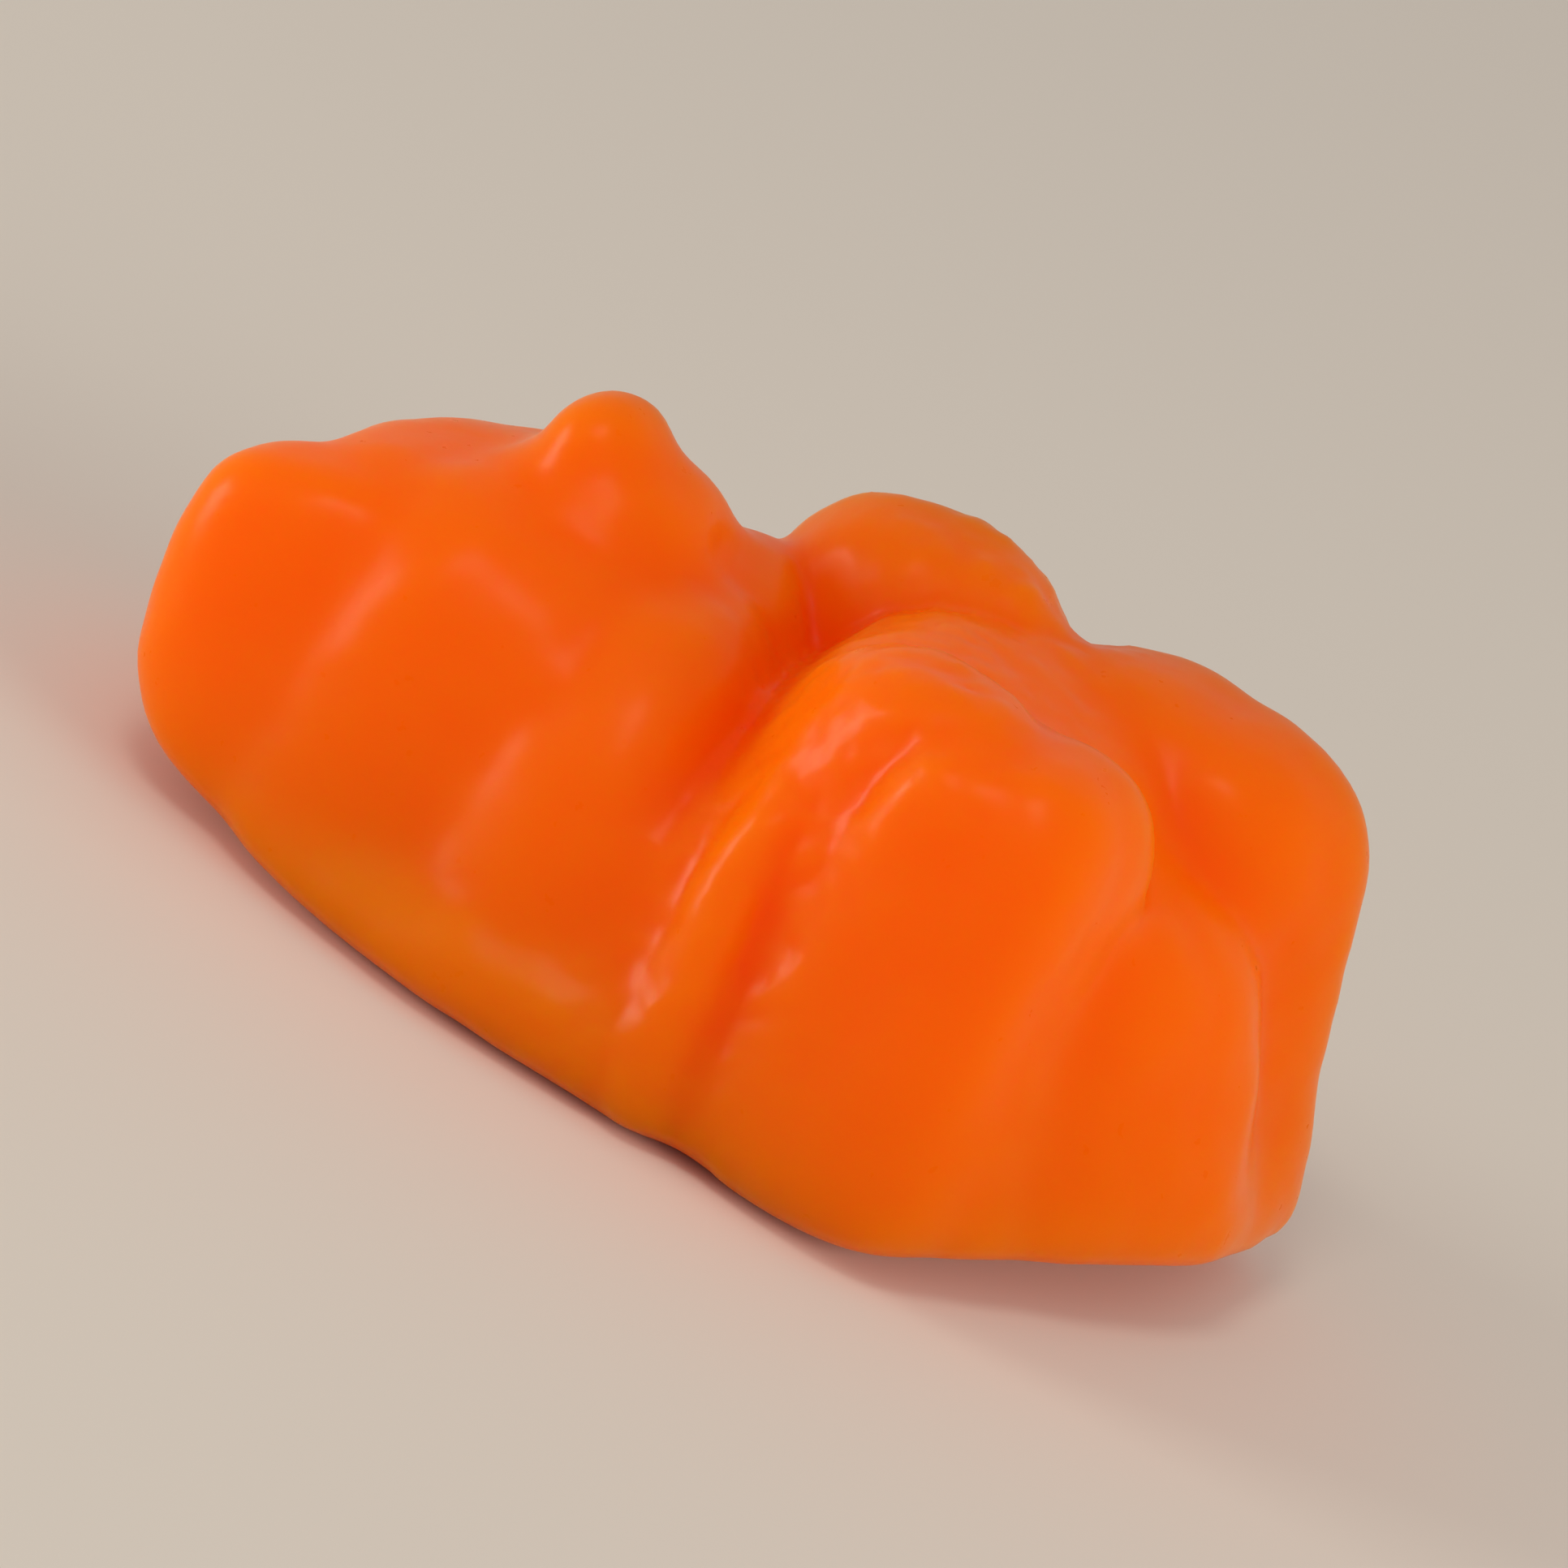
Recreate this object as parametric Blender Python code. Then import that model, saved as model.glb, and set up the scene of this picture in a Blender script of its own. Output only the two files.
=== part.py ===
"""Gummy bear, cast in one piece and lying on its flat back.

Metres, +Z up. The head points to -X, the feet to +X, and the belly faces up. The origin is at the
middle of the base. The bear is built as one field: a rounded lobe for each limb, melted into its
neighbours, cut off flat where the poured gelatine met the air, and meshed where the field is zero.
"""

import math
from typing import NamedTuple

import bpy

MM = 0.001

# Driving dimensions, in millimetres
LENGTH = 22.0  # from the ears to the feet, in the finished bear
HALF_LENGTH = LENGTH / 2
MESH_STEP = 0.5  # spacing of the grid that the skin is found on

BACK_EDGE = 2.48  # how softly the flat back turns up into the sides
FLAT_FROM = -4.65  # the back lies flat between these two places along X
FLAT_TO = 3.65
BACK_LIFT = 0.027  # past them it curves up by this much per square millimetre

HIP_BEND = 0.54  # sideways turn of the legs at the feet, as a slope
HIP_START = 1.0  # where the turn begins, along X
MIDLINE_BLEND = 0.8  # how softly the left and right limbs meet
FLARE = 0.2  # sideways spread for each millimetre down
FLARE_BELOW = 6.0  # height that the spread starts from

UNEVENNESS = 0.7  # how far the cast shape wanders
UNEVEN_SCALE = 0.16  # lumps per millimetre

GRID_LOW = (-12.5, -8.0, -1.0)
GRID_HIGH = (12.5, 8.0, 11.0)

SKIN_COLOUR = (0.80, 0.10, 0.003, 1.0)
SKIN_ROUGHNESS = 0.32


class Lobe(NamedTuple):
    """One rounded swelling. Sizes are half lengths in millimetres, and a side lobe is mirrored."""

    name: str
    station: float  # centre, measured from the ears along the bear
    side: float  # centre, out from the midline
    height: float  # centre, up from the back
    half_length: float
    half_width: float
    half_height: float
    squareness: float  # 2 is an ellipsoid, and more is boxier
    lean_deg: float  # how far its top tips towards the head
    straight_below: bool  # its section carries on unchanged to the back, as in the mould
    melt: float  # how softly it flows into the lobes before it
    skew: float = 0.0  # how much further on the left one sits, for each millimetre of side


LOBES = (
    Lobe("trunk", 13.82, 0.0, 4.19, 3.59, 4.9, 4.22, 3.0, -7.57, True, 0.0),
    Lobe("lap", 16.49, 0.0, 3.61, 3.29, 2.7, 3.24, 2.8, 12.78, True, 1.2),
    Lobe("seat", 16.45, 0.0, 0.29, 3.25, 4.07, 1.6, 2.8, 3.91, True, 1.6),
    Lobe("spine", 10.38, 0.0, 0.6, 7.52, 5.42, 1.8, 2.4, 0.69, True, 1.6),
    Lobe("neck", 10.9, 0.0, 2.6, 2.2, 4.6, 3.0, 2.8, -0.01, True, 1.6),
    Lobe("brow", 4.46, 0.0, 3.41, 3.0, 3.6, 3.48, 2.8, 0.28, True, 1.0),
    Lobe("head", 6.11, 0.0, 3.27, 3.01, 4.23, 3.96, 3.2, -0.54, True, 1.0),
    Lobe("cheek", 8.82, 1.34, 2.95, 1.92, 3.42, 4.29, 2.4, 3.33, True, 1.0),
    Lobe("ear", 2.92, 1.94, 4.05, 1.63, 1.57, 2.01, 3.0, 16.7, True, 0.8, 0.17),
    Lobe("muzzle", 6.59, 0.0, 6.22, 2.06, 2.02, 2.27, 2.2, 0.06, False, 1.1),
    Lobe("nose", 5.91, 0.0, 7.92, 0.93, 1.26, 1.12, 2.2, 12.03, False, 0.8),
    Lobe("shoulder", 12.24, 3.02, 2.6, 0.83, 2.41, 4.0, 2.6, 5.22, True, 0.8),
    Lobe("thigh", 16.03, 2.13, 2.31, 2.85, 2.31, 3.2, 3.0, 18.24, True, 1.2, 0.0),
    Lobe("leg", 15.92, 3.15, 5.31, 2.56, 2.3, 3.46, 3.4, 3.82, True, 0.9),
    Lobe("arm", 12.68, 2.86, 5.81, 2.63, 1.74, 3.06, 3.0, 10.41, True, 0.5, -0.38),
)


class Field:
    """A number at every point in space, held as a socket of the node tree it belongs to."""

    def __init__(self, socket):
        self.tree = socket.id_data
        self.socket = socket

    def maths(self, operation, *others):
        node = self.tree.nodes.new("ShaderNodeMath")
        node.operation = operation
        for place, value in enumerate((self, *others)):
            if isinstance(value, Field):
                self.tree.links.new(value.socket, node.inputs[place])
            else:
                node.inputs[place].default_value = value
        return Field(node.outputs[0])

    def __add__(self, other):
        return self.maths("ADD", other)

    def __sub__(self, other):
        return self.maths("SUBTRACT", other)

    def __mul__(self, other):
        return self.maths("MULTIPLY", other)

    def __truediv__(self, other):
        return self.maths("DIVIDE", other)

    def __pow__(self, other):
        return self.maths("POWER", other)

    def __neg__(self):
        return self * -1.0

    def at_least(self, other):
        return self.maths("MAXIMUM", other)

    def joined_with(self, other, softness):
        """The distance to the nearer of two shapes, with the crease between them filled in."""
        return self.maths("SMOOTH_MIN", other, softness)

    def kept_within(self, other, softness):
        """The distance to what two shapes share, with the edge between them rounded off."""
        return self.maths("SMOOTH_MAX", other, softness)


def vector_node(tree, operation, first, second=None):
    """Add a vector maths node fed by a socket, and by a second socket or fixed value."""
    node = tree.nodes.new("ShaderNodeVectorMath")
    node.operation = operation
    tree.links.new(first, node.inputs[0])
    if isinstance(second, bpy.types.NodeSocket):
        tree.links.new(second, node.inputs[1])
    elif isinstance(second, tuple):
        node.inputs[1].default_value = second
    elif second is not None:
        node.inputs["Scale"].default_value = second
    return node.outputs


def parts_of(tree, socket):
    """Split a vector socket into its three numbers."""
    node = tree.nodes.new("ShaderNodeSeparateXYZ")
    tree.links.new(socket, node.inputs[0])
    return [Field(output) for output in node.outputs]


def vector_of(tree, x, y, z):
    """Join three numbers into a vector socket."""
    node = tree.nodes.new("ShaderNodeCombineXYZ")
    for place, value in enumerate((x, y, z)):
        tree.links.new(value.socket, node.inputs[place])
    return node.outputs[0]


def new_lobe_group():
    """Node group that gives the distance from a point to the skin of one lobe."""
    tree = bpy.data.node_groups.new("Lobe", "GeometryNodeTree")
    for name, kind in (
        ("Position", "NodeSocketVector"),
        ("Centre", "NodeSocketVector"),
        ("Half size", "NodeSocketVector"),
        ("Squareness", "NodeSocketFloat"),
        ("Lean", "NodeSocketFloat"),
        ("Straight below", "NodeSocketFloat"),
    ):
        tree.interface.new_socket(name, in_out="INPUT", socket_type=kind)
    tree.interface.new_socket("Distance", in_out="OUTPUT", socket_type="NodeSocketFloat")
    given = tree.nodes.new("NodeGroupInput").outputs
    result = tree.nodes.new("NodeGroupOutput").inputs

    offset = vector_node(tree, "SUBTRACT", given["Position"], given["Centre"])[0]
    upright = tree.nodes.new("ShaderNodeVectorRotate")
    upright.rotation_type = "Y_AXIS"
    tree.links.new(offset, upright.inputs["Vector"])
    tree.links.new(given["Lean"], upright.inputs["Angle"])
    x, y, z = parts_of(tree, upright.outputs[0])

    below = z * (-Field(given["Straight below"]) + 1.0)
    place = vector_of(tree, x, y, z.at_least(below))

    ratios = vector_node(tree, "DIVIDE", place, given["Half size"])[0]
    ratios = vector_node(tree, "ABSOLUTE", ratios)[0]
    squareness = Field(given["Squareness"])
    powers = [ratio**squareness for ratio in parts_of(tree, ratios)]
    size = (powers[0] + powers[1] + powers[2]) ** (squareness**-1.0)
    size = size.at_least(MM)
    reach = Field(vector_node(tree, "LENGTH", place)["Value"])
    distance = (size - 1.0) * reach / size
    tree.links.new(distance.socket, result["Distance"])
    return tree


def uneven_position(tree):
    """The place of a point in millimetres, and the same place nudged by slow, smooth lumps."""
    position = tree.nodes.new("GeometryNodeInputPosition").outputs[0]
    true_place = vector_node(tree, "SCALE", position, 1 / MM)[0]
    lumps = tree.nodes.new("ShaderNodeTexNoise")
    lumps.inputs["Scale"].default_value = UNEVEN_SCALE
    lumps.inputs["Detail"].default_value = 1.0
    tree.links.new(true_place, lumps.inputs["Vector"])
    nudge = vector_node(tree, "SUBTRACT", lumps.outputs["Color"], (0.5, 0.5, 0.5))[0]
    nudge = vector_node(tree, "SCALE", nudge, UNEVENNESS)[0]
    return true_place, vector_node(tree, "ADD", true_place, nudge)[0]


def straightened(x, y):
    """Undo the sideways turn of the hips, so that both legs lie alike in the result."""
    past_hip = (x - HIP_START).at_least(0.0)
    slope = HIP_BEND / (HALF_LENGTH - HIP_START)
    y = y + past_hip * past_hip * (slope / 2)
    return x - past_hip * y * slope, y


def flare(height):
    """How much the sides spread towards the back, so that the bear leaves its mould."""
    return (height - FLARE_BELOW).maths("SMOOTH_MIN", 0.0, FLARE_BELOW / 2) * FLARE


def back_plane(x, true_height):
    """Distance above the back, which is flat in the middle and curves up at both ends."""
    past_ends = (x - FLAT_TO).at_least(0.0) + (-x + FLAT_FROM).at_least(0.0)
    return past_ends * past_ends * BACK_LIFT - true_height


def bear_distance(tree):
    """The distance from a point to the skin of the whole bear."""
    true_place, place = uneven_position(tree)
    x, y, z = parts_of(tree, place)
    x, y = straightened(x, y)
    either_side = y.kept_within(-y, MIDLINE_BLEND)

    lobe_group = new_lobe_group()
    body = None
    for lobe in LOBES:
        place = vector_of(tree, x - y * lobe.skew, either_side, z)
        node = tree.nodes.new("GeometryNodeGroup")
        node.node_tree = lobe_group
        node.label = lobe.name
        tree.links.new(place, node.inputs["Position"])
        node.inputs["Centre"].default_value = (lobe.station - HALF_LENGTH, lobe.side, lobe.height)
        node.inputs["Half size"].default_value = (lobe.half_length, lobe.half_width, lobe.half_height)
        node.inputs["Squareness"].default_value = lobe.squareness
        node.inputs["Lean"].default_value = math.radians(lobe.lean_deg)
        node.inputs["Straight below"].default_value = float(lobe.straight_below)
        swelling = Field(node.outputs[0])
        body = swelling if body is None else body.joined_with(swelling, lobe.melt)
    body = body + flare(z)

    true_height = parts_of(tree, true_place)[2]
    return body.kept_within(back_plane(x, true_height), BACK_EDGE)


def skin_mesh(tree, distance):
    """Mesh the surface on which the distance is zero."""
    cube = tree.nodes.new("GeometryNodeVolumeCube")
    tree.links.new((-distance).socket, cube.inputs["Density"])
    cube.inputs["Background"].default_value = -1.0
    cube.inputs["Min"].default_value = [value * MM for value in GRID_LOW]
    cube.inputs["Max"].default_value = [value * MM for value in GRID_HIGH]
    for axis, low, high in zip("XYZ", GRID_LOW, GRID_HIGH):
        cube.inputs[f"Resolution {axis}"].default_value = round((high - low) / MESH_STEP) + 1
    mesher = tree.nodes.new("GeometryNodeVolumeToMesh")
    mesher.inputs["Threshold"].default_value = 0.0
    mesher.inputs["Adaptivity"].default_value = 0.0
    tree.links.new(cube.outputs[0], mesher.inputs["Volume"])
    return mesher.outputs[0]


def brought_to_length(tree, geometry):
    """Scale the mesh evenly to its stated length, with the middle of its box over the origin."""
    box = tree.nodes.new("GeometryNodeBoundBox")
    tree.links.new(geometry, box.inputs[0])
    size = vector_node(tree, "SUBTRACT", box.outputs["Max"], box.outputs["Min"])[0]
    factor = parts_of(tree, size)[0] ** -1.0 * (LENGTH * MM)
    corners = vector_node(tree, "ADD", box.outputs["Min"], box.outputs["Max"])[0]
    shift = vector_node(tree, "MULTIPLY", corners, (-0.5, -0.5, 0.0))[0]
    x, y, z = parts_of(tree, shift)
    move = tree.nodes.new("GeometryNodeTransform")
    tree.links.new(geometry, move.inputs["Geometry"])
    tree.links.new(vector_of(tree, x * factor, y * factor, z), move.inputs["Translation"])
    tree.links.new(vector_of(tree, factor, factor, factor), move.inputs["Scale"])
    return move.outputs[0]


def jelly():
    """Set orange gelatine, with the soft gloss of its wax coat."""
    material = bpy.data.materials.new("orange_jelly")
    material.use_nodes = True
    shader = material.node_tree.nodes["Principled BSDF"]
    shader.inputs["Base Color"].default_value = SKIN_COLOUR
    shader.inputs["Roughness"].default_value = SKIN_ROUGHNESS
    shader.inputs["Metallic"].default_value = 0.0
    return material


def bear_tree(material):
    """Geometry Nodes tree that makes the whole bear."""
    tree = bpy.data.node_groups.new("Bear", "GeometryNodeTree")
    tree.interface.new_socket("Geometry", in_out="INPUT", socket_type="NodeSocketGeometry")
    tree.interface.new_socket("Geometry", in_out="OUTPUT", socket_type="NodeSocketGeometry")
    result = tree.nodes.new("NodeGroupOutput")
    skin = brought_to_length(tree, skin_mesh(tree, bear_distance(tree)))
    smooth = tree.nodes.new("GeometryNodeSetShadeSmooth")
    tree.links.new(skin, smooth.inputs["Geometry"])
    coat = tree.nodes.new("GeometryNodeSetMaterial")
    coat.inputs["Material"].default_value = material
    tree.links.new(smooth.outputs[0], coat.inputs["Geometry"])
    tree.links.new(coat.outputs[0], result.inputs[0])
    return tree


def main():
    for thing in list(bpy.data.objects):
        bpy.data.objects.remove(thing)
    bear = bpy.data.objects.new("bear", bpy.data.meshes.new("bear"))
    bpy.context.collection.objects.link(bear)
    maker = bear.modifiers.new("Bear", "NODES")
    maker.node_group = bear_tree(jelly())


main()
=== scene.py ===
"""Orange gummy bear lying on its flat back, and the pale sweep that it is shown on.

Sizes are in millimetres until the tree that makes the bear brings it to its length in metres.
The head points to -X, the feet to +X, and the belly faces up.
"""

import math
from typing import NamedTuple
import bpy
from mathutils import Matrix, Vector


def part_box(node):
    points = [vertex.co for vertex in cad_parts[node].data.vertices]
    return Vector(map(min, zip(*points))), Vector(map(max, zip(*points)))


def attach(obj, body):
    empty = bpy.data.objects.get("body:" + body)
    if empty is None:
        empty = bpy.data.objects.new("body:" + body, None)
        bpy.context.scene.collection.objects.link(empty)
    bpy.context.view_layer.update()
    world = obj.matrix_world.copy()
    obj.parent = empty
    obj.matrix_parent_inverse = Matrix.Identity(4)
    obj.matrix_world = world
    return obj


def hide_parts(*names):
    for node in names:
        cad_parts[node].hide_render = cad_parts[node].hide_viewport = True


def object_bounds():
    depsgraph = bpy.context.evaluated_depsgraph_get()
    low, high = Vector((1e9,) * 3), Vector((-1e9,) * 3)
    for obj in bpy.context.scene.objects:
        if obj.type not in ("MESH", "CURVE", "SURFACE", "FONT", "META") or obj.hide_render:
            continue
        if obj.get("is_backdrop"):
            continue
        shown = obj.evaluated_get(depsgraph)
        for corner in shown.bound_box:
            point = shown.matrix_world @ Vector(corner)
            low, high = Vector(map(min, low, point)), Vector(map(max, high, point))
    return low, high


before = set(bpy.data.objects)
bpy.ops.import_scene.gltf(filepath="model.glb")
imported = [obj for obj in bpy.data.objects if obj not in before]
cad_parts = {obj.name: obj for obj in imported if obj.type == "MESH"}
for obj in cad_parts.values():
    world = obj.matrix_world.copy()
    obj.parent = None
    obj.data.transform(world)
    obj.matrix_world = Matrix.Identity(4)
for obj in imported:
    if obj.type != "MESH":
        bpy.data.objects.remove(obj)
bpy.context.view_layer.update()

BEAR_LOW, BEAR_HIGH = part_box("bear")
BEAR_SIZE = BEAR_HIGH - BEAR_LOW

bl_info = {
    "name": "Gummy bear",
    "version": (1, 0, 0),
    "blender": (4, 5, 0),
    "location": "View3D > Sidebar > Gummy bear",
    "description": "Makes a cast orange gummy bear and the sweep that it is shown on",
    "category": "Add Mesh",
}

MM = 0.001
NEAR_ZERO = 0.001  # keeps a ratio from vanishing at the centre of a lobe

# How the bear is cast, in millimetres. The same fit that gave the lobes their sizes gave the four
# numbers of the back, the flare, and the hip bend below.
CAST_LENGTH = 22.0  # the length that the stations of the lobes are given for
HALF_LENGTH = CAST_LENGTH / 2
BACK_EDGE = 2.48  # how softly the flat back turns up into the sides
FLAT_FROM = -4.65  # the back lies flat between these two places along X
FLAT_TO = 3.65
BACK_LIFT = 0.027  # past them it curves up by this much per square millimetre
HIP_START = 1.0  # where the sideways turn of the legs begins, along X
MIDLINE_BLEND = 0.8  # how softly the left and right limbs meet
FLARE = 0.2  # sideways spread for each millimetre down
FLARE_BELOW = 6.0  # height that the spread starts from
UNEVEN_SCALE = 0.16  # lumps per millimetre
FOLD_SCALE = 0.55  # broad folds of the skin per millimetre
FINE_FOLD_SCALE = 2.2  # fine folds per millimetre
FINE_FOLD_DEPTH = 1.3  # how deep the fine folds are, as a share of the crinkle depth
ARMS_AT = 1.6  # along X, where the fine folds are deepest
ARMS_REACH = 3.4  # how far from there they go
GRID_LOW = (-12.5, -8.0, -1.0)  # the box that the skin is looked for in
GRID_HIGH = (12.5, 8.0, 11.0)

# The jelly
THICKNESS = "thickness"  # the attribute that holds how much jelly lies behind the skin, which sets the painted glow
THICK_JELLY = 8.0  # millimetres that show the body colour in full
THIN_JELLY = 1.0  # millimetres that show the edge colour, a painted glow of light through thin jelly, in full
SKIN_CLEARANCE = 0.01  # how far inside the skin the thickness is measured from, in millimetres
THICKNESS_BLUR = 40  # rounds of smoothing of the measured thickness
GRAIN_SCALE = 2600.0  # grains of the wax coat per metre
GRAIN_DEPTH = 0.00002
GRAIN_GLOSS = 0.06  # how far the grain shifts the roughness, either way

# The stage
SWEEP_REACH = 3.0
SWEEP_RINGS = 24
SWEEP_SPOKES = 96
LAMP_COLOUR = (1.0, 0.93, 0.82)
ROOM_COLOUR = (0.9, 0.86, 0.83)
ROOM_LIGHT = 0.5
CAMERA_DISTANCE = 0.225
CAMERA_LENS = 300.0
CAMERA_SENSOR = 36.0


class Lobe(NamedTuple):
    """One rounded swelling. Sizes are half lengths in millimetres, and a side lobe is mirrored."""

    name: str
    station: float  # centre, measured from the ears along the bear
    side: float  # centre, out from the midline
    height: float  # centre, up from the back
    half_length: float
    half_width: float
    half_height: float
    squareness: float  # 2 is an ellipsoid, and more is boxier
    lean_deg: float  # how far its top tips towards the head
    straight_below: bool  # its section carries on unchanged to the back, as in the mould
    melt: float  # how softly it flows into the lobes before it
    skew: float = 0.0  # how much further on the left one sits, for each millimetre of side


# Places, half sizes, leans and the skew of the ear were worked out by a least-squares fit of this
# shape to the outline of a real bear, and rounded to 0.01. The rest was chosen.
LOBES = (
    Lobe("trunk", 13.82, 0.0, 4.19, 3.59, 4.9, 4.22, 3.0, -7.57, True, 0.0),
    Lobe("lap", 16.49, 0.0, 3.61, 3.29, 2.7, 3.24, 2.8, 12.78, True, 1.2),
    Lobe("seat", 16.45, 0.0, 0.29, 3.25, 4.07, 1.6, 2.8, 3.91, True, 1.6),
    Lobe("spine", 10.38, 0.0, 0.6, 7.52, 5.42, 1.8, 2.4, 0.69, True, 1.6),
    Lobe("neck", 10.9, 0.0, 2.6, 2.2, 4.6, 3.0, 2.8, -0.01, True, 1.6),
    Lobe("brow", 4.46, 0.0, 3.41, 3.0, 3.6, 3.48, 2.8, 0.28, True, 1.0),
    Lobe("head", 6.11, 0.0, 3.27, 3.01, 4.23, 3.96, 3.2, -0.54, True, 1.0),
    Lobe("cheek", 8.82, 1.34, 2.95, 1.92, 3.42, 4.29, 2.4, 3.33, True, 1.0),
    Lobe("ear", 2.92, 1.94, 4.05, 1.63, 1.57, 2.01, 3.0, 16.7, True, 0.8, 0.17),
    Lobe("muzzle", 6.59, 0.0, 6.22, 2.06, 2.02, 2.27, 2.2, 0.06, False, 1.1),
    Lobe("nose", 5.91, 0.0, 7.92, 0.93, 1.26, 1.12, 2.2, 12.03, False, 0.8),
    Lobe("shoulder", 12.24, 3.02, 2.6, 0.83, 2.41, 4.0, 2.6, 5.22, True, 0.8),
    Lobe("thigh", 16.03, 2.13, 2.31, 2.85, 2.31, 3.2, 3.0, 18.24, True, 1.2, 0.0),
    Lobe("leg", 15.92, 3.15, 5.31, 2.56, 2.3, 3.46, 3.4, 3.82, True, 0.9),
    Lobe("arm", 12.68, 2.86, 5.81, 2.63, 1.74, 3.06, 3.0, 10.41, True, 0.5, -0.38),
)

# Small moulded marks. One that stands out is joined on, and one that is sunk is cut in.
EYE = Lobe("eye", 5.2, 1.75, 6.75, 0.45, 0.45, 0.35, 2.0, 0.0, False, 0.3)
MOUTH = Lobe("mouth", 8.4, 0.0, 8.1, 0.25, 0.8, 0.4, 2.0, 0.0, False, 0.4)
RAISED = (EYE,)
SUNK = (MOUTH,)


class LightPanel(NamedTuple):
    """A soft light that faces the bear. Azimuth 0 is in front of it, on the -Y side."""

    name: str
    azimuth_deg: float
    elevation_deg: float
    distance: float
    size: tuple[float, float]
    power: float
    mirrored: bool  # whether it shows as a highlight on the bear


LIGHT_PANELS = (
    LightPanel("key", -72.0, 9.0, 0.20, (0.07, 0.09), 0.24, True),
    LightPanel("top", -20.0, 60.0, 0.30, (0.08, 0.08), 0.13, True),
    LightPanel("fill", 72.0, 18.0, 0.30, (0.22, 0.14), 0.46, False),
)


class BearSizes(bpy.types.PropertyGroup):
    """Sizes of the cast bear."""

    length: bpy.props.FloatProperty(
        name="Length",
        description="From the ears to the feet",
        default=BEAR_SIZE.x,
        min=0.005,
        unit="LENGTH",
    )
    skin_step: bpy.props.FloatProperty(
        name="Skin step",
        description="Spacing of the grid that the skin is found on, in millimetres",
        default=0.125,
        min=0.08,
    )
    hip_bend: bpy.props.FloatProperty(
        name="Hip bend",
        description="Sideways turn of the legs at the feet, as a slope",
        default=0.54,
    )
    unevenness: bpy.props.FloatProperty(
        name="Unevenness",
        description="How far the cast shape wanders, in millimetres",
        default=0.7,
        min=0.0,
    )
    crinkle: bpy.props.FloatProperty(
        name="Crinkle",
        description="Depth of the small folds in the skin, in millimetres",
        default=0.12,
        min=0.0,
    )


class JellyFinish(bpy.types.PropertyGroup):
    """Colour and gloss of the set gelatine, with a painted glow where it is thin."""

    body: bpy.props.FloatVectorProperty(
        name="Body colour",
        description="Colour where the jelly is thick",
        subtype="COLOR",
        size=3,
        default=(0.98, 0.13, 0.0005),
    )
    # Painted glow: a lighter, yellower colour painted on thin places, standing in for light
    # shining through the jelly.
    edge: bpy.props.FloatVectorProperty(
        name="Edge colour",
        description="Colour where light comes through a thin place",
        subtype="COLOR",
        size=3,
        default=(0.98, 0.165, 0.001),
    )
    roughness: bpy.props.FloatProperty(
        name="Roughness",
        description="Softness of the gloss of the wax coat",
        subtype="FACTOR",
        default=0.3,
        min=0.0,
        max=1.0,
    )
    depth: bpy.props.FloatProperty(
        name="Depth of light",
        description="How far light travels inside the jelly",
        default=0.009,
        min=0.0,
        unit="LENGTH",
    )


class StageLook(bpy.types.PropertyGroup):
    """The sweep under the bear and the view of it."""

    paper: bpy.props.FloatVectorProperty(
        name="Paper",
        description="Colour of the sweep",
        subtype="COLOR",
        size=3,
        default=(0.72, 0.67, 0.61),
    )
    azimuth: bpy.props.FloatProperty(
        name="Azimuth",
        description="Turn of the camera round the bear",
        subtype="ANGLE",
        default=math.radians(9.0),
    )
    elevation: bpy.props.FloatProperty(
        name="Elevation",
        description="Height of the camera above the floor, as an angle",
        subtype="ANGLE",
        default=math.radians(21.5),
    )
    roll: bpy.props.FloatProperty(
        name="Roll",
        description="Tilt of the camera about its own line of sight",
        subtype="ANGLE",
        default=math.radians(27.6),
    )


class Field:
    """A number at every point in space, held as a socket of the node tree it belongs to."""

    def __init__(self, socket):
        self.tree = socket.id_data
        self.socket = socket

    def maths(self, operation, *others):
        node = self.tree.nodes.new("ShaderNodeMath")
        node.operation = operation
        for place, value in enumerate((self, *others)):
            if isinstance(value, Field):
                self.tree.links.new(value.socket, node.inputs[place])
            else:
                node.inputs[place].default_value = value
        return Field(node.outputs[0])

    def __add__(self, other):
        return self.maths("ADD", other)

    def __sub__(self, other):
        return self.maths("SUBTRACT", other)

    def __mul__(self, other):
        return self.maths("MULTIPLY", other)

    def __truediv__(self, other):
        return self.maths("DIVIDE", other)

    def __pow__(self, other):
        return self.maths("POWER", other)

    def __neg__(self):
        return self * -1.0

    def at_least(self, other):
        return self.maths("MAXIMUM", other)

    def at_most(self, other):
        return self.maths("MINIMUM", other)

    def joined_with(self, other, softness):
        """The distance to the nearer of two shapes, with the crease between them filled in."""
        return self.maths("SMOOTH_MIN", other, softness)

    def kept_within(self, other, softness):
        """The distance to what two shapes share, with the edge between them rounded off."""
        return self.maths("SMOOTH_MAX", other, softness)


def vector_node(tree, operation, first, second=None):
    """Add a vector maths node fed by a socket, and by a second socket or fixed value."""
    node = tree.nodes.new("ShaderNodeVectorMath")
    node.operation = operation
    tree.links.new(first, node.inputs[0])
    if isinstance(second, bpy.types.NodeSocket):
        place = "Scale" if operation == "SCALE" else 1
        tree.links.new(second, node.inputs[place])
    elif isinstance(second, tuple):
        node.inputs[1].default_value = second
    elif second is not None:
        node.inputs["Scale"].default_value = second
    return node.outputs


def parts_of(tree, socket):
    """Split a vector socket into its three numbers."""
    node = tree.nodes.new("ShaderNodeSeparateXYZ")
    tree.links.new(socket, node.inputs[0])
    return [Field(output) for output in node.outputs]


def vector_of(tree, x, y, z):
    """Join three numbers into a vector socket."""
    node = tree.nodes.new("ShaderNodeCombineXYZ")
    for place, value in enumerate((x, y, z)):
        tree.links.new(value.socket, node.inputs[place])
    return node.outputs[0]


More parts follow.
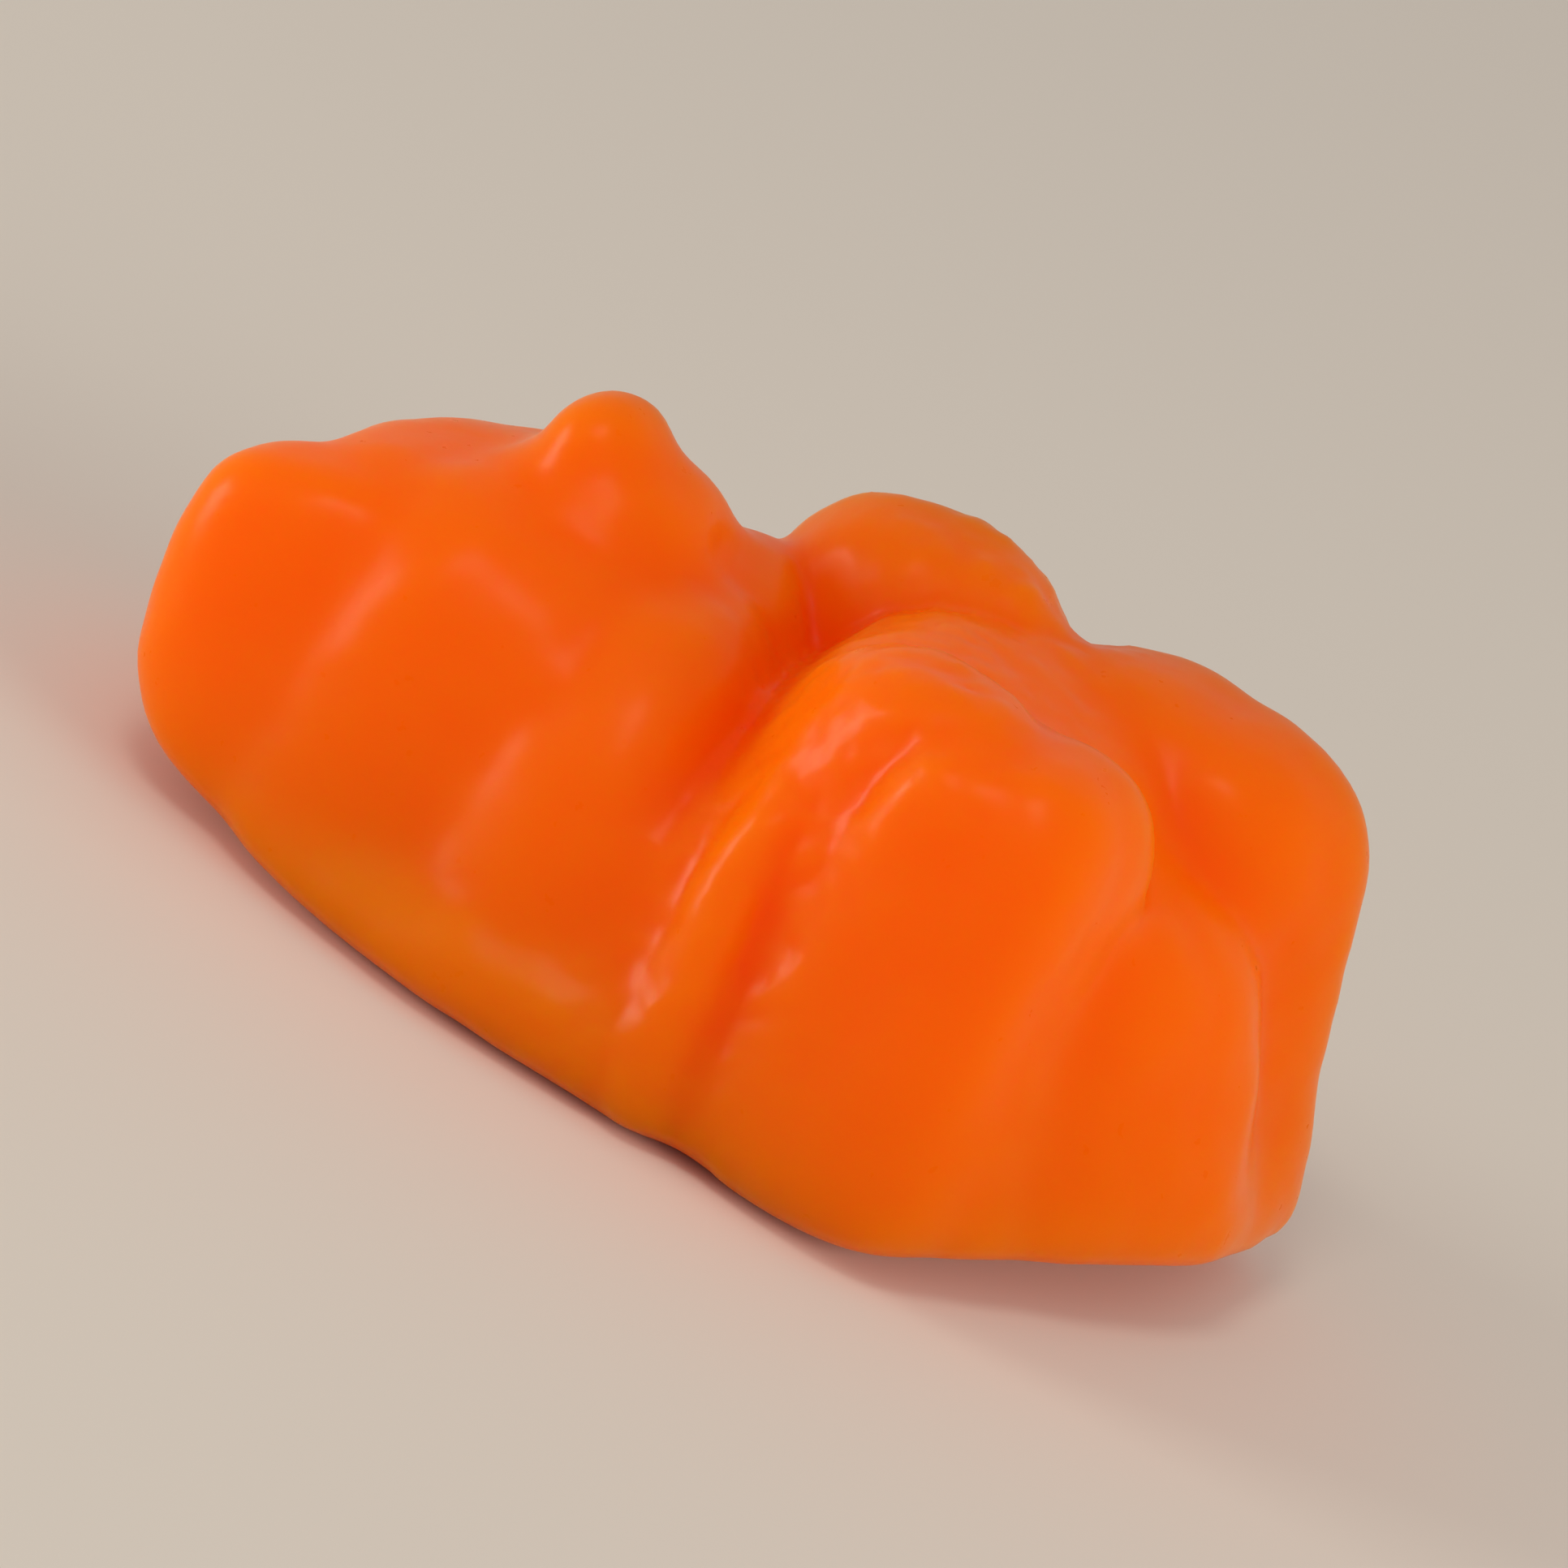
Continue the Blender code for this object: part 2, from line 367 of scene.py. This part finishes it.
def new_lobe_group():
    """Node group that gives the distance from a point to the skin of one lobe."""
    tree = bpy.data.node_groups.new("Lobe", "GeometryNodeTree")
    for name, kind in (
        ("Position", "NodeSocketVector"),
        ("Centre", "NodeSocketVector"),
        ("Half size", "NodeSocketVector"),
        ("Squareness", "NodeSocketFloat"),
        ("Lean", "NodeSocketFloat"),
        ("Straight below", "NodeSocketFloat"),
    ):
        tree.interface.new_socket(name, in_out="INPUT", socket_type=kind)
    tree.interface.new_socket("Distance", in_out="OUTPUT", socket_type="NodeSocketFloat")
    given = tree.nodes.new("NodeGroupInput").outputs
    result = tree.nodes.new("NodeGroupOutput").inputs

    offset = vector_node(tree, "SUBTRACT", given["Position"], given["Centre"])[0]
    upright = tree.nodes.new("ShaderNodeVectorRotate")
    upright.rotation_type = "Y_AXIS"
    tree.links.new(offset, upright.inputs["Vector"])
    tree.links.new(given["Lean"], upright.inputs["Angle"])
    x, y, z = parts_of(tree, upright.outputs[0])

    below = z * (-Field(given["Straight below"]) + 1.0)
    place = vector_of(tree, x, y, z.at_least(below))

    ratios = vector_node(tree, "DIVIDE", place, given["Half size"])[0]
    ratios = vector_node(tree, "ABSOLUTE", ratios)[0]
    squareness = Field(given["Squareness"])
    powers = [ratio**squareness for ratio in parts_of(tree, ratios)]
    size = (powers[0] + powers[1] + powers[2]) ** (squareness**-1.0)
    size = size.at_least(NEAR_ZERO)
    reach = Field(vector_node(tree, "LENGTH", place)["Value"])
    distance = (size - 1.0) * reach / size
    tree.links.new(distance.socket, result["Distance"])
    return tree


def noise_at(tree, place, scale, detail, colour=False):
    """Smooth random lumps over a place: a number about 0.5, or three of them."""
    lumps = tree.nodes.new("ShaderNodeTexNoise")
    lumps.inputs["Scale"].default_value = scale
    lumps.inputs["Detail"].default_value = detail
    tree.links.new(place, lumps.inputs["Vector"])
    return lumps.outputs["Color" if colour else "Fac"]


def uneven_position(tree, unevenness):
    """The place of a point in millimetres, and the same place nudged by slow, smooth lumps."""
    position = tree.nodes.new("GeometryNodeInputPosition").outputs[0]
    true_place = vector_node(tree, "SCALE", position, 1 / MM)[0]
    lumps = noise_at(tree, true_place, UNEVEN_SCALE, 1.0, colour=True)
    nudge = vector_node(tree, "SUBTRACT", lumps, (0.5, 0.5, 0.5))[0]
    nudge = vector_node(tree, "SCALE", nudge, unevenness)[0]
    return true_place, vector_node(tree, "ADD", true_place, nudge)[0]


def straightened(x, y, hip_bend):
    """Undo the sideways turn of the hips, so that both legs lie alike in the result."""
    past_hip = (x - HIP_START).at_least(0.0)
    slope = hip_bend * (1 / (HALF_LENGTH - HIP_START))
    y = y + past_hip * past_hip * slope * 0.5
    return x - past_hip * y * slope, y


def flare(height):
    """How much the sides spread towards the back, so that the bear leaves its mould."""
    return (height - FLARE_BELOW).maths("SMOOTH_MIN", 0.0, FLARE_BELOW / 2) * FLARE


def back_plane(x, true_height):
    """Distance above the back, which is flat in the middle and curves up at both ends."""
    past_ends = (x - FLAT_TO).at_least(0.0) + (-x + FLAT_FROM).at_least(0.0)
    return past_ends * past_ends * BACK_LIFT - true_height


def lobe_distance(tree, lobe_group, lobe, x, y, either_side, z):
    """The distance to the skin of one lobe of the bear, and of its mirror image."""
    node = tree.nodes.new("GeometryNodeGroup")
    node.node_tree = lobe_group
    node.label = lobe.name
    tree.links.new(vector_of(tree, x - y * lobe.skew, either_side, z), node.inputs["Position"])
    node.inputs["Centre"].default_value = (lobe.station - HALF_LENGTH, lobe.side, lobe.height)
    node.inputs["Half size"].default_value = (lobe.half_length, lobe.half_width, lobe.half_height)
    node.inputs["Squareness"].default_value = lobe.squareness
    node.inputs["Lean"].default_value = math.radians(lobe.lean_deg)
    node.inputs["Straight below"].default_value = float(lobe.straight_below)
    return Field(node.outputs[0])


def crinkles(tree, place, depth):
    """Small folds of the skin, with finer ones where the arms are pressed to the body."""
    folds = Field(noise_at(tree, place, FOLD_SCALE, 1.0)) - 0.5
    fine_folds = Field(noise_at(tree, place, FINE_FOLD_SCALE, 1.0)) - 0.5
    from_arms = (parts_of(tree, place)[0] - ARMS_AT) / ARMS_REACH
    by_arms = (-(from_arms * from_arms) + 1.0).at_least(0.0)
    return (folds * 2.0 + fine_folds * by_arms * FINE_FOLD_DEPTH) * depth


def bear_distance(tree, given):
    """The distance from a point to the skin of the whole bear."""
    true_place, place = uneven_position(tree, given["Unevenness"])
    x, y, z = parts_of(tree, place)
    x, y = straightened(x, y, Field(given["Hip bend"]))
    either_side = y.kept_within(-y, MIDLINE_BLEND)  # how far out from the midline, on either side

    lobe_group = new_lobe_group()
    body = None
    for lobe in LOBES + RAISED:
        swelling = lobe_distance(tree, lobe_group, lobe, x, y, either_side, z)
        body = swelling if body is None else body.joined_with(swelling, lobe.melt)
    for lobe in SUNK:
        hollow = lobe_distance(tree, lobe_group, lobe, x, y, either_side, z)
        body = body.kept_within(-hollow, lobe.melt)
    body = body + crinkles(tree, true_place, Field(given["Crinkle"]))
    body = body + flare(z)

    true_height = parts_of(tree, true_place)[2]
    return body.kept_within(back_plane(x, true_height), BACK_EDGE)


def skin_mesh(tree, distance, skin_step):
    """Mesh the surface on which the distance is zero."""
    cube = tree.nodes.new("GeometryNodeVolumeCube")
    tree.links.new((-distance).socket, cube.inputs["Density"])
    cube.inputs["Background"].default_value = -1.0
    cube.inputs["Min"].default_value = [value * MM for value in GRID_LOW]
    cube.inputs["Max"].default_value = [value * MM for value in GRID_HIGH]
    for axis, low, high in zip("XYZ", GRID_LOW, GRID_HIGH):
        count = skin_step**-1.0 * (high - low) + 1.0
        tree.links.new(count.socket, cube.inputs[f"Resolution {axis}"])
    mesher = tree.nodes.new("GeometryNodeVolumeToMesh")
    mesher.inputs["Threshold"].default_value = 0.0
    mesher.inputs["Adaptivity"].default_value = 0.0
    tree.links.new(cube.outputs[0], mesher.inputs["Volume"])
    return mesher.outputs[0]


def brought_to_length(tree, geometry, length):
    """Scale the mesh evenly to its length, with the middle of its box over the origin."""
    box = tree.nodes.new("GeometryNodeBoundBox")
    tree.links.new(geometry, box.inputs[0])
    size = vector_node(tree, "SUBTRACT", box.outputs["Max"], box.outputs["Min"])[0]
    factor = length / parts_of(tree, size)[0]
    corners = vector_node(tree, "ADD", box.outputs["Min"], box.outputs["Max"])[0]
    shift = vector_node(tree, "MULTIPLY", corners, (-0.5, -0.5, 0.0))[0]
    x, y, z = parts_of(tree, shift)
    move = tree.nodes.new("GeometryNodeTransform")
    tree.links.new(geometry, move.inputs["Geometry"])
    tree.links.new(vector_of(tree, x * factor, y * factor, z), move.inputs["Translation"])
    tree.links.new(vector_of(tree, factor, factor, factor), move.inputs["Scale"])
    return move.outputs[0]


def marked_with_thickness(tree, geometry):
    """Store how much jelly lies behind each point of the skin, in millimetres."""
    position = tree.nodes.new("GeometryNodeInputPosition").outputs[0]
    inwards = tree.nodes.new("GeometryNodeInputNormal").outputs[0]
    inwards = vector_node(tree, "SCALE", inwards, -1.0)[0]
    start = vector_node(tree, "SCALE", inwards, SKIN_CLEARANCE * MM)[0]
    start = vector_node(tree, "ADD", position, start)[0]
    ray = tree.nodes.new("GeometryNodeRaycast")
    tree.links.new(geometry, ray.inputs["Target Geometry"])
    tree.links.new(start, ray.inputs["Source Position"])
    tree.links.new(inwards, ray.inputs["Ray Direction"])
    ray.inputs["Ray Length"].default_value = 1.0
    depth = Field(ray.outputs["Hit Distance"]) * (1 / MM)
    blur = tree.nodes.new("GeometryNodeBlurAttribute")
    blur.data_type = "FLOAT"
    blur.inputs["Iterations"].default_value = THICKNESS_BLUR
    tree.links.new(depth.socket, blur.inputs["Value"])
    store = tree.nodes.new("GeometryNodeStoreNamedAttribute")
    store.data_type = "FLOAT"
    store.domain = "POINT"
    store.inputs["Name"].default_value = THICKNESS
    tree.links.new(geometry, store.inputs["Geometry"])
    tree.links.new(blur.outputs[0], store.inputs["Value"])
    return store.outputs[0]


def bear_tree(material):
    """Geometry Nodes tree that makes the whole bear."""
    tree = bpy.data.node_groups.new("Bear", "GeometryNodeTree")
    for name in ("Length", "Skin step", "Hip bend", "Unevenness", "Crinkle"):
        tree.interface.new_socket(name, in_out="INPUT", socket_type="NodeSocketFloat")
    tree.interface.new_socket("Geometry", in_out="OUTPUT", socket_type="NodeSocketGeometry")
    given = tree.nodes.new("NodeGroupInput").outputs
    result = tree.nodes.new("NodeGroupOutput")
    distance = bear_distance(tree, given)
    skin = skin_mesh(tree, distance, Field(given["Skin step"]))
    skin = brought_to_length(tree, skin, Field(given["Length"]))
    skin = marked_with_thickness(tree, skin)
    smooth = tree.nodes.new("GeometryNodeSetShadeSmooth")
    tree.links.new(skin, smooth.inputs["Geometry"])
    real = tree.nodes.new("GeometryNodeRealizeInstances")
    tree.links.new(smooth.outputs[0], real.inputs[0])
    coat = tree.nodes.new("GeometryNodeSetMaterial")
    coat.inputs["Material"].default_value = material
    tree.links.new(real.outputs[0], coat.inputs["Geometry"])
    tree.links.new(coat.outputs[0], result.inputs[0])
    return tree


def set_inputs(modifier, values):
    """Give a Geometry Nodes modifier its inputs by name."""
    for item in modifier.node_group.interface.items_tree:
        if item.item_type == "SOCKET" and item.in_out == "INPUT" and item.name in values:
            modifier[item.identifier] = values[item.name]


def jelly_material(finish):
    """Orange set gelatine with the soft gloss of its wax coat, painted lighter and yellower where
    it is thin in place of light shining through.
    """
    material = bpy.data.materials.new("orange_jelly")
    material.use_nodes = True
    nodes, links = material.node_tree.nodes, material.node_tree.links
    shader = nodes["Principled BSDF"]
    place = nodes.new("ShaderNodeTexCoord").outputs["Object"]

    # Painted glow: the base colour turns to the edge colour where little jelly lies behind the
    # skin.
    thickness = nodes.new("ShaderNodeAttribute")
    thickness.attribute_name = THICKNESS
    thin = nodes.new("ShaderNodeMapRange")
    thin.interpolation_type = "SMOOTHSTEP"
    thin.inputs["From Min"].default_value = THICK_JELLY
    thin.inputs["From Max"].default_value = THIN_JELLY
    links.new(thickness.outputs["Fac"], thin.inputs["Value"])
    glow_tint = nodes.new("ShaderNodeMix")
    glow_tint.data_type = "RGBA"
    glow_tint.inputs["A"].default_value = (*finish.body, 1.0)
    glow_tint.inputs["B"].default_value = (*finish.edge, 1.0)
    links.new(thin.outputs["Result"], glow_tint.inputs["Factor"])
    links.new(glow_tint.outputs["Result"], shader.inputs["Base Color"])

    grain = nodes.new("ShaderNodeTexNoise")
    grain.inputs["Scale"].default_value = GRAIN_SCALE
    grain.inputs["Detail"].default_value = 3.0
    links.new(place, grain.inputs["Vector"])
    bump = nodes.new("ShaderNodeBump")
    bump.inputs["Strength"].default_value = 0.25
    bump.inputs["Distance"].default_value = GRAIN_DEPTH
    links.new(grain.outputs["Fac"], bump.inputs["Height"])
    links.new(bump.outputs["Normal"], shader.inputs["Normal"])

    gloss = nodes.new("ShaderNodeMapRange")
    gloss.inputs["To Min"].default_value = finish.roughness - GRAIN_GLOSS
    gloss.inputs["To Max"].default_value = finish.roughness + GRAIN_GLOSS
    links.new(grain.outputs["Fac"], gloss.inputs["Value"])
    links.new(gloss.outputs["Result"], shader.inputs["Roughness"])

    shader.inputs["IOR"].default_value = 1.4
    shader.inputs["Specular IOR Level"].default_value = 0.13
    shader.inputs["Subsurface Weight"].default_value = 1.0
    shader.inputs["Subsurface Radius"].default_value = (1.0, 0.35, 0.05)
    shader.inputs["Subsurface Scale"].default_value = finish.depth
    return material


class MakeBear(bpy.types.Operator):
    """Cast the gummy bear, in one piece of orange jelly"""

    bl_idname = "gummy.make_bear"
    bl_label = "Gummy bear"

    def execute(self, context):
        sizes = context.scene.bear_sizes
        blank = bpy.data.objects.new("blank", bpy.data.meshes.new("blank"))
        context.collection.objects.link(blank)
        caster = blank.modifiers.new("Bear", "NODES")
        caster.node_group = bear_tree(jelly_material(context.scene.jelly_finish))
        set_inputs(
            caster,
            {
                "Length": sizes.length,
                "Skin step": sizes.skin_step,
                "Hip bend": sizes.hip_bend,
                "Unevenness": sizes.unevenness,
                "Crinkle": sizes.crinkle,
            },
        )
        depsgraph = context.evaluated_depsgraph_get()
        mesh = bpy.data.meshes.new_from_object(blank.evaluated_get(depsgraph))
        bpy.data.objects.remove(blank)
        mesh.name = "jelly_bear"
        bear = bpy.data.objects.new("jelly_bear", mesh)
        context.collection.objects.link(bear)
        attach(bear, "root")
        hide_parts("bear")
        return {"FINISHED"}


def sweep_mesh(size, rings, spokes):
    """A flat round sheet of paper."""
    corners = [(0.0, 0.0, 0.0)]
    faces = []
    for ring in range(1, rings + 1):
        reach = size * (ring / rings) ** 2
        for spoke in range(spokes):
            turn = math.tau * spoke / spokes
            corners.append((reach * math.cos(turn), reach * math.sin(turn), 0.0))
    for spoke in range(spokes):
        after = (spoke + 1) % spokes
        faces.append((0, 1 + spoke, 1 + after))
        for ring in range(rings - 1):
            inner = 1 + ring * spokes
            outer = inner + spokes
            faces.append((inner + spoke, outer + spoke, outer + after, inner + after))
    mesh = bpy.data.meshes.new("sweep")
    mesh.from_pydata(corners, [], faces)
    return mesh


def direction_to(azimuth, elevation):
    """Unit vector out from the bear. Azimuth 0 is in front of it, on the -Y side."""
    level = math.cos(elevation)
    return Vector((math.sin(azimuth) * level, -math.cos(azimuth) * level, math.sin(elevation)))


def paper_material(colour):
    """Plain matt paper."""
    material = bpy.data.materials.new("paper")
    material.use_nodes = True
    shader = material.node_tree.nodes["Principled BSDF"]
    shader.inputs["Base Color"].default_value = (*colour, 1.0)
    shader.inputs["Roughness"].default_value = 0.85
    return material


def add_panel_light(panel):
    """Hang one soft light panel."""
    data = bpy.data.lights.new(panel.name, "AREA")
    data.shape = "RECTANGLE"
    data.size, data.size_y = panel.size
    data.energy = panel.power
    data.color = LAMP_COLOUR
    away = direction_to(math.radians(panel.azimuth_deg), math.radians(panel.elevation_deg))
    light = bpy.data.objects.new(panel.name, data)
    light.location = away * panel.distance + Vector((0.0, 0.0, BEAR_SIZE.z / 2))
    light.rotation_euler = away.to_track_quat("Z", "Y").to_euler()
    light.visible_glossy = panel.mirrored
    bpy.context.collection.objects.link(light)


def light_room():
    """Fill the room round the bear with even light."""
    world = bpy.data.worlds.new("studio")
    world.use_nodes = True
    background = world.node_tree.nodes["Background"]
    background.inputs["Color"].default_value = (*ROOM_COLOUR, 1.0)
    background.inputs["Strength"].default_value = ROOM_LIGHT
    bpy.context.scene.world = world


def set_up_camera(look):
    """Point a long lens at the middle of the bear, from near enough to fill most of the frame."""
    low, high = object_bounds()
    away = direction_to(look.azimuth, look.elevation)
    data = bpy.data.cameras.new("camera")
    data.lens = CAMERA_LENS
    data.sensor_width = CAMERA_SENSOR
    data.clip_start = 0.005
    data.clip_end = 20.0
    camera = bpy.data.objects.new("camera", data)
    turned = away.to_track_quat("Z", "Y").to_matrix() @ Matrix.Rotation(look.roll, 3, "Z")
    place = Matrix.Translation((low + high) / 2 + away * CAMERA_DISTANCE)
    camera.matrix_world = place @ turned.to_4x4()
    bpy.context.collection.objects.link(camera)
    bpy.context.scene.camera = camera


class MakeStage(bpy.types.Operator):
    """Lay the paper sweep, hang the lights and set up the camera"""

    bl_idname = "gummy.make_stage"
    bl_label = "Stage"

    def execute(self, context):
        look = context.scene.stage_look
        sweep = bpy.data.objects.new("sweep", sweep_mesh(SWEEP_REACH, SWEEP_RINGS, SWEEP_SPOKES))
        sweep.data.materials.append(paper_material(look.paper))
        context.collection.objects.link(sweep)
        sweep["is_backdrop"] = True
        for panel in LIGHT_PANELS:
            add_panel_light(panel)
        light_room()
        set_up_camera(look)
        context.scene.view_settings.view_transform = "Standard"
        return {"FINISHED"}


class GummyPanel(bpy.types.Panel):
    """Buttons that make the bear and its stage"""

    bl_idname = "VIEW3D_PT_gummy_bear"
    bl_label = "Gummy bear"
    bl_space_type = "VIEW_3D"
    bl_region_type = "UI"
    bl_category = "Gummy bear"

    def draw(self, context):
        scene = context.scene
        for group in (scene.bear_sizes, scene.jelly_finish):
            for name in group.__annotations__:
                self.layout.prop(group, name)
        self.layout.operator(MakeBear.bl_idname)
        for name in scene.stage_look.__annotations__:
            self.layout.prop(scene.stage_look, name)
        self.layout.operator(MakeStage.bl_idname)


CLASSES = (BearSizes, JellyFinish, StageLook, MakeBear, MakeStage, GummyPanel)


def register():
    for each in CLASSES:
        bpy.utils.register_class(each)
    bpy.types.Scene.bear_sizes = bpy.props.PointerProperty(type=BearSizes)
    bpy.types.Scene.jelly_finish = bpy.props.PointerProperty(type=JellyFinish)
    bpy.types.Scene.stage_look = bpy.props.PointerProperty(type=StageLook)


def unregister():
    del bpy.types.Scene.stage_look
    del bpy.types.Scene.jelly_finish
    del bpy.types.Scene.bear_sizes
    for each in reversed(CLASSES):
        bpy.utils.unregister_class(each)


def main():
    register()
    bpy.ops.gummy.make_bear()
    bpy.ops.gummy.make_stage()


if __name__ == "__main__":
    main()
